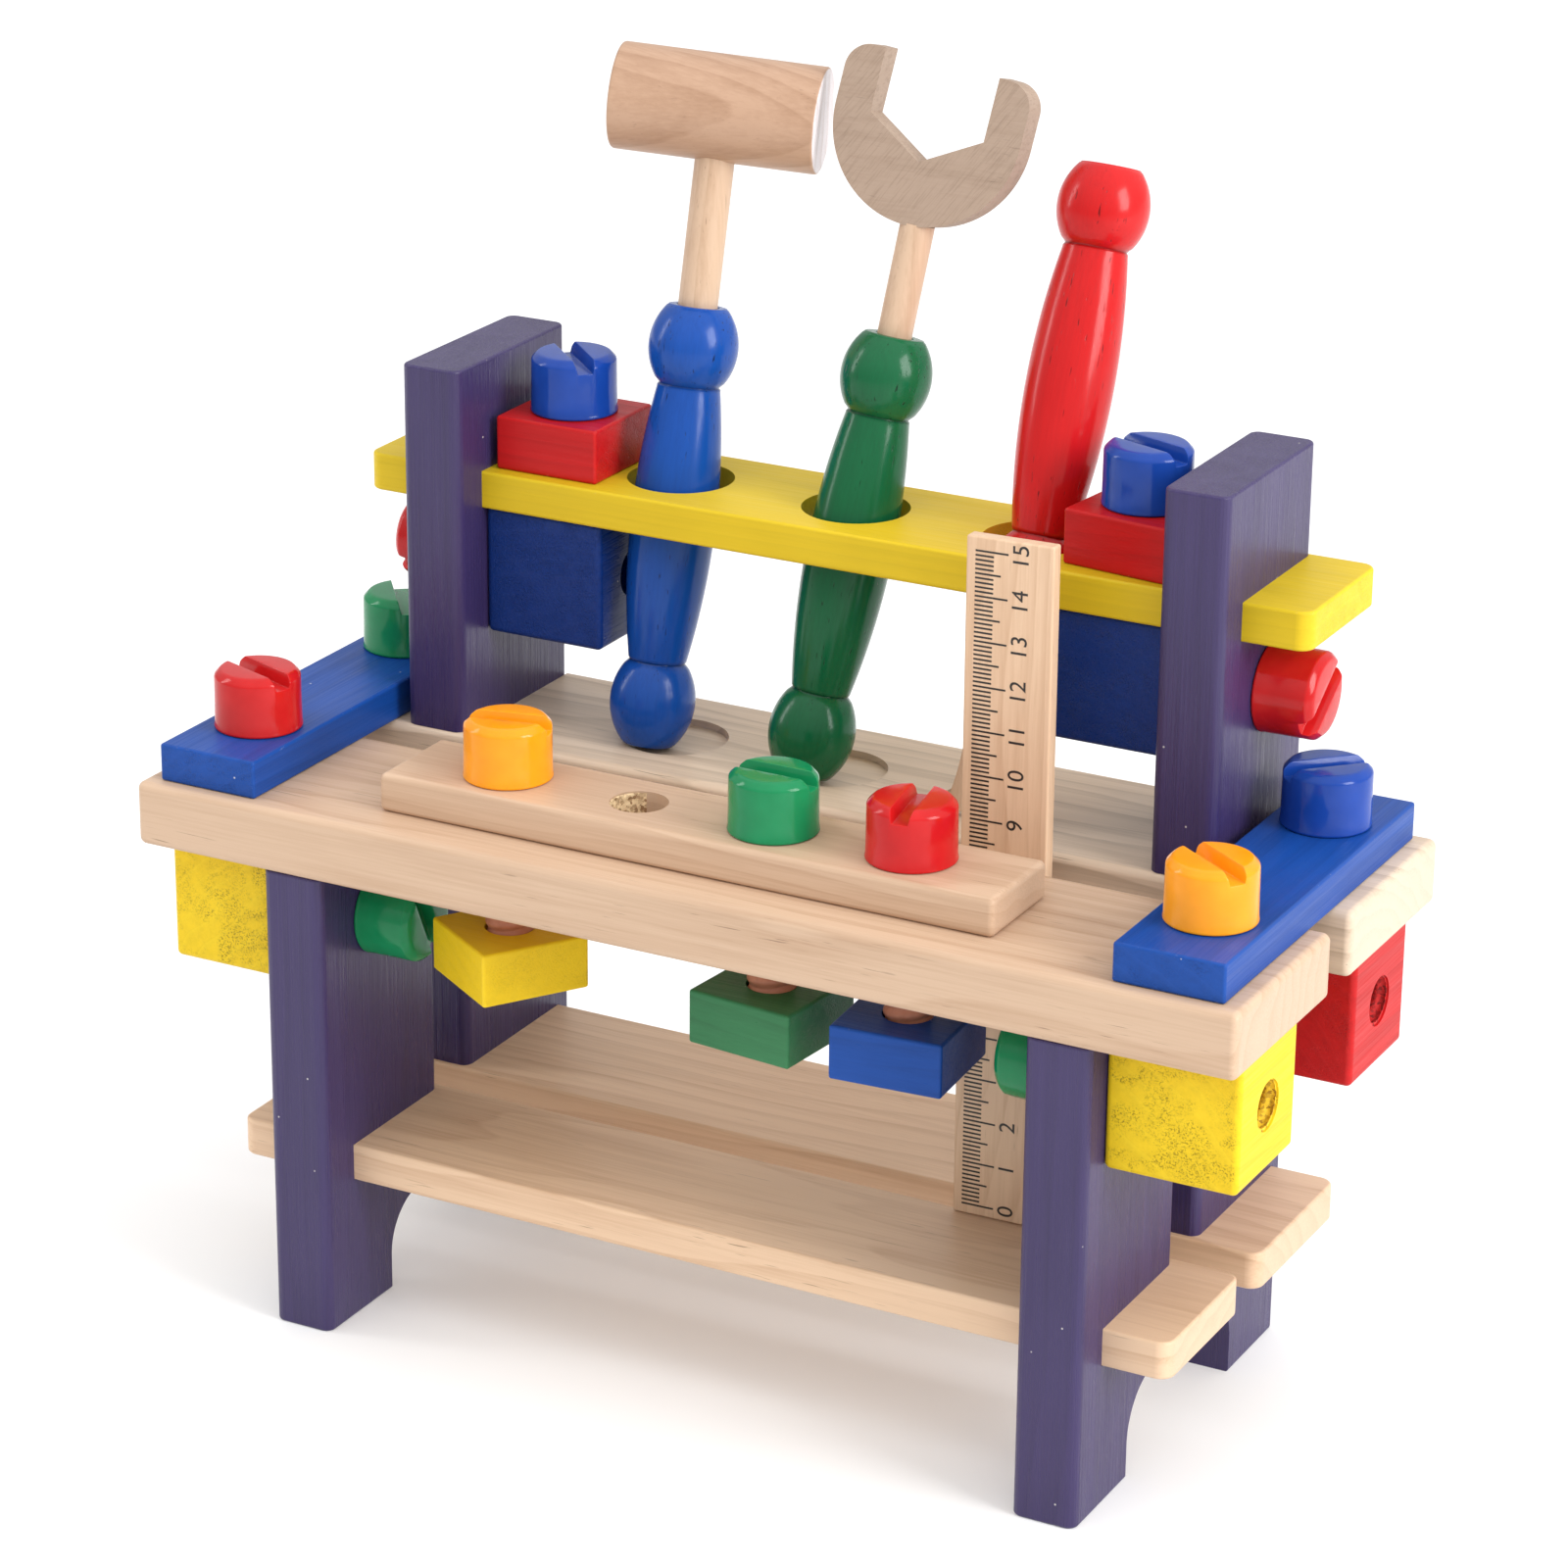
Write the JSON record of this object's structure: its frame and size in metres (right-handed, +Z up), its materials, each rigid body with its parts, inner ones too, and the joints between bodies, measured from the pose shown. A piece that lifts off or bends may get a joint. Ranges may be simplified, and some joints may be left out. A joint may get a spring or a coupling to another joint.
{
  "type": "toy tool bench",
  "caption": "Wooden toy workbench with a slatted table, two shelves, a rack bar holding a hammer, wrench and screwdriver, a ruler, and plastic bolts through wooden nuts and blocks.",
  "frame": {"origin": "middle of the bench's footprint box, on the floor", "axes": "+Z up, +X towards the right-hand end as seen from the front, +Y from the front plank towards the rack"},
  "size_m": [0.267, 0.1249, 0.2864],
  "materials": {
    "pine": "smooth, clear satin",
    "grey_pine": "smooth, clear satin",
    "beech": "sanded, unpainted",
    "purple_paint": "satin purple paint",
    "yellow_paint": "satin yellow paint",
    "blue_paint": "satin blue paint",
    "red_paint": "satin red paint",
    "green_paint": "satin green paint",
    "red_plastic": "glossy moulded red",
    "green_plastic": "glossy moulded green",
    "blue_plastic": "glossy moulded blue",
    "orange_plastic": "glossy moulded orange-yellow"
  },
  "bodies": {
    "bench": {"front_table_plank": "pine", "rear_table_plank": "grey_pine", "front_shelf": "pine", "rear_shelf": "pine", "rack_bar": "yellow_paint", "hole_strip": "pine", "left_front_leg": "purple_paint", "left_tall_board": "purple_paint", "left_end_strip": "blue_paint", "left_front_block": "yellow_paint", "left_rear_block": "red_paint", "left_rack_block": "blue_paint", "left_rack_nut": "red_paint", "right_front_leg": "purple_paint", "right_tall_board": "purple_paint", "right_end_strip": "blue_paint", "right_front_block": "yellow_paint", "right_rear_block": "red_paint", "right_rack_block": "blue_paint", "right_rack_nut": "red_paint"},
    "left_front_table_bolt": {"left_front_table_bolt": "red_plastic"},
    "left_front_leg_bolt": {"left_front_leg_bolt": "green_plastic"},
    "left_rear_table_bolt": {"left_rear_table_bolt": "green_plastic"},
    "left_rear_leg_bolt": {"left_rear_leg_bolt": "green_plastic"},
    "left_rack_bolt": {"left_rack_bolt": "blue_plastic"},
    "left_upright_bolt": {"left_upright_bolt": "red_plastic"},
    "right_front_table_bolt": {"right_front_table_bolt": "orange_plastic"},
    "right_front_leg_bolt": {"right_front_leg_bolt": "green_plastic"},
    "right_rear_table_bolt": {"right_rear_table_bolt": "blue_plastic"},
    "right_rear_leg_bolt": {"right_rear_leg_bolt": "green_plastic"},
    "right_rack_bolt": {"right_rack_bolt": "blue_plastic"},
    "right_upright_bolt": {"right_upright_bolt": "red_plastic"},
    "orange_strip_bolt": {"orange_strip_bolt": "orange_plastic"},
    "green_strip_bolt": {"green_strip_bolt": "green_plastic"},
    "red_strip_bolt": {"red_strip_bolt": "red_plastic"},
    "yellow_nut": {"yellow_nut": "yellow_paint"},
    "green_nut": {"green_nut": "green_paint"},
    "blue_nut": {"blue_nut": "blue_paint"},
    "hammer": {"hammer_handle": "blue_paint", "hammer_shaft": "pine", "hammer_head": "beech"},
    "wrench": {"wrench_handle": "green_paint", "wrench_shaft": "pine", "wrench_head": "beech"},
    "screwdriver": {"screwdriver_handle": "red_paint", "screwdriver_blade": "pine"},
    "ruler": {"ruler": "pine"}
  },
  "joints": [
    {"name": "left_front_table_bolt_turn", "type": "hinge", "parent": "bench", "child": "left_front_table_bolt", "pos_m": [-0.1165, -0.0382, 0.1353], "axis": [0, 0, 1], "continuous": true},
    {"name": "left_front_leg_bolt_turn", "type": "hinge", "parent": "bench", "child": "left_front_leg_bolt", "pos_m": [-0.086, -0.0382, 0.0965], "axis": [1, 0, 0], "continuous": true},
    {"name": "left_rear_table_bolt_turn", "type": "hinge", "parent": "bench", "child": "left_rear_table_bolt", "pos_m": [-0.1165, 0.0238, 0.1353], "axis": [0, 0, 1], "continuous": true},
    {"name": "left_rear_leg_bolt_turn", "type": "hinge", "parent": "bench", "child": "left_rear_leg_bolt", "pos_m": [-0.086, 0.0238, 0.0965], "axis": [1, 0, 0], "continuous": true},
    {"name": "left_rack_bolt_turn", "type": "hinge", "parent": "bench", "child": "left_rack_bolt", "pos_m": [-0.0712, 0.0258, 0.1993], "axis": [0, 0, 1], "continuous": true},
    {"name": "left_upright_bolt_turn", "type": "hinge", "parent": "bench", "child": "left_upright_bolt", "pos_m": [-0.101, 0.0258, 0.163], "axis": [-1, 0, 0], "continuous": true},
    {"name": "right_front_table_bolt_turn", "type": "hinge", "parent": "bench", "child": "right_front_table_bolt", "pos_m": [0.1165, -0.0382, 0.1353], "axis": [0, 0, 1], "continuous": true},
    {"name": "right_front_leg_bolt_turn", "type": "hinge", "parent": "bench", "child": "right_front_leg_bolt", "pos_m": [0.086, -0.0382, 0.0965], "axis": [-1, 0, 0], "continuous": true},
    {"name": "right_rear_table_bolt_turn", "type": "hinge", "parent": "bench", "child": "right_rear_table_bolt", "pos_m": [0.1165, 0.0238, 0.1353], "axis": [0, 0, 1], "continuous": true},
    {"name": "right_rear_leg_bolt_turn", "type": "hinge", "parent": "bench", "child": "right_rear_leg_bolt", "pos_m": [0.086, 0.0238, 0.0965], "axis": [-1, 0, 0], "continuous": true},
    {"name": "right_rack_bolt_turn", "type": "hinge", "parent": "bench", "child": "right_rack_bolt", "pos_m": [0.0712, 0.0258, 0.1993], "axis": [0, 0, 1], "continuous": true},
    {"name": "right_upright_bolt_turn", "type": "hinge", "parent": "bench", "child": "right_upright_bolt", "pos_m": [0.101, 0.0258, 0.163], "axis": [1, 0, 0], "continuous": true},
    {"name": "orange_strip_bolt_turn", "type": "hinge", "parent": "bench", "child": "orange_strip_bolt", "pos_m": [-0.051, -0.0382, 0.1353], "axis": [0, 0, 1], "continuous": true},
    {"name": "green_strip_bolt_turn", "type": "hinge", "parent": "bench", "child": "green_strip_bolt", "pos_m": [0.015, -0.0382, 0.1353], "axis": [0, 0, 1], "continuous": true},
    {"name": "red_strip_bolt_turn", "type": "hinge", "parent": "bench", "child": "red_strip_bolt", "pos_m": [0.048, -0.0382, 0.1353], "axis": [0, 0, 1], "continuous": true},
    {"name": "yellow_nut_turn", "type": "hinge", "parent": "orange_strip_bolt", "child": "yellow_nut", "pos_m": [-0.051, -0.0382, 0.09325], "axis": [0, 0, 1], "continuous": true},
    {"name": "green_nut_turn", "type": "hinge", "parent": "green_strip_bolt", "child": "green_nut", "pos_m": [0.015, -0.0382, 0.09325], "axis": [0, 0, 1], "continuous": true},
    {"name": "blue_nut_turn", "type": "hinge", "parent": "red_strip_bolt", "child": "blue_nut", "pos_m": [0.048, -0.0382, 0.09325], "axis": [0, 0, 1], "continuous": true},
    {"name": "hammer_lift", "type": "slide", "parent": "bench", "child": "hammer", "axis": [0.0176, 0.1989, 0.9799], "range_m": [0, 0.075]},
    {"name": "wrench_lift", "type": "slide", "parent": "bench", "child": "wrench", "axis": [0.0899, 0.2388, 0.9669], "range_m": [0, 0.075]},
    {"name": "screwdriver_lift", "type": "slide", "parent": "bench", "child": "screwdriver", "axis": [0.0285, 0.3158, 0.9484], "range_m": [0, 0.075]},
    {"name": "ruler_lift", "type": "slide", "parent": "bench", "child": "ruler", "axis": [-0.017, 0.03, 0.9994], "range_m": [0, 0.1]}
  ]
}
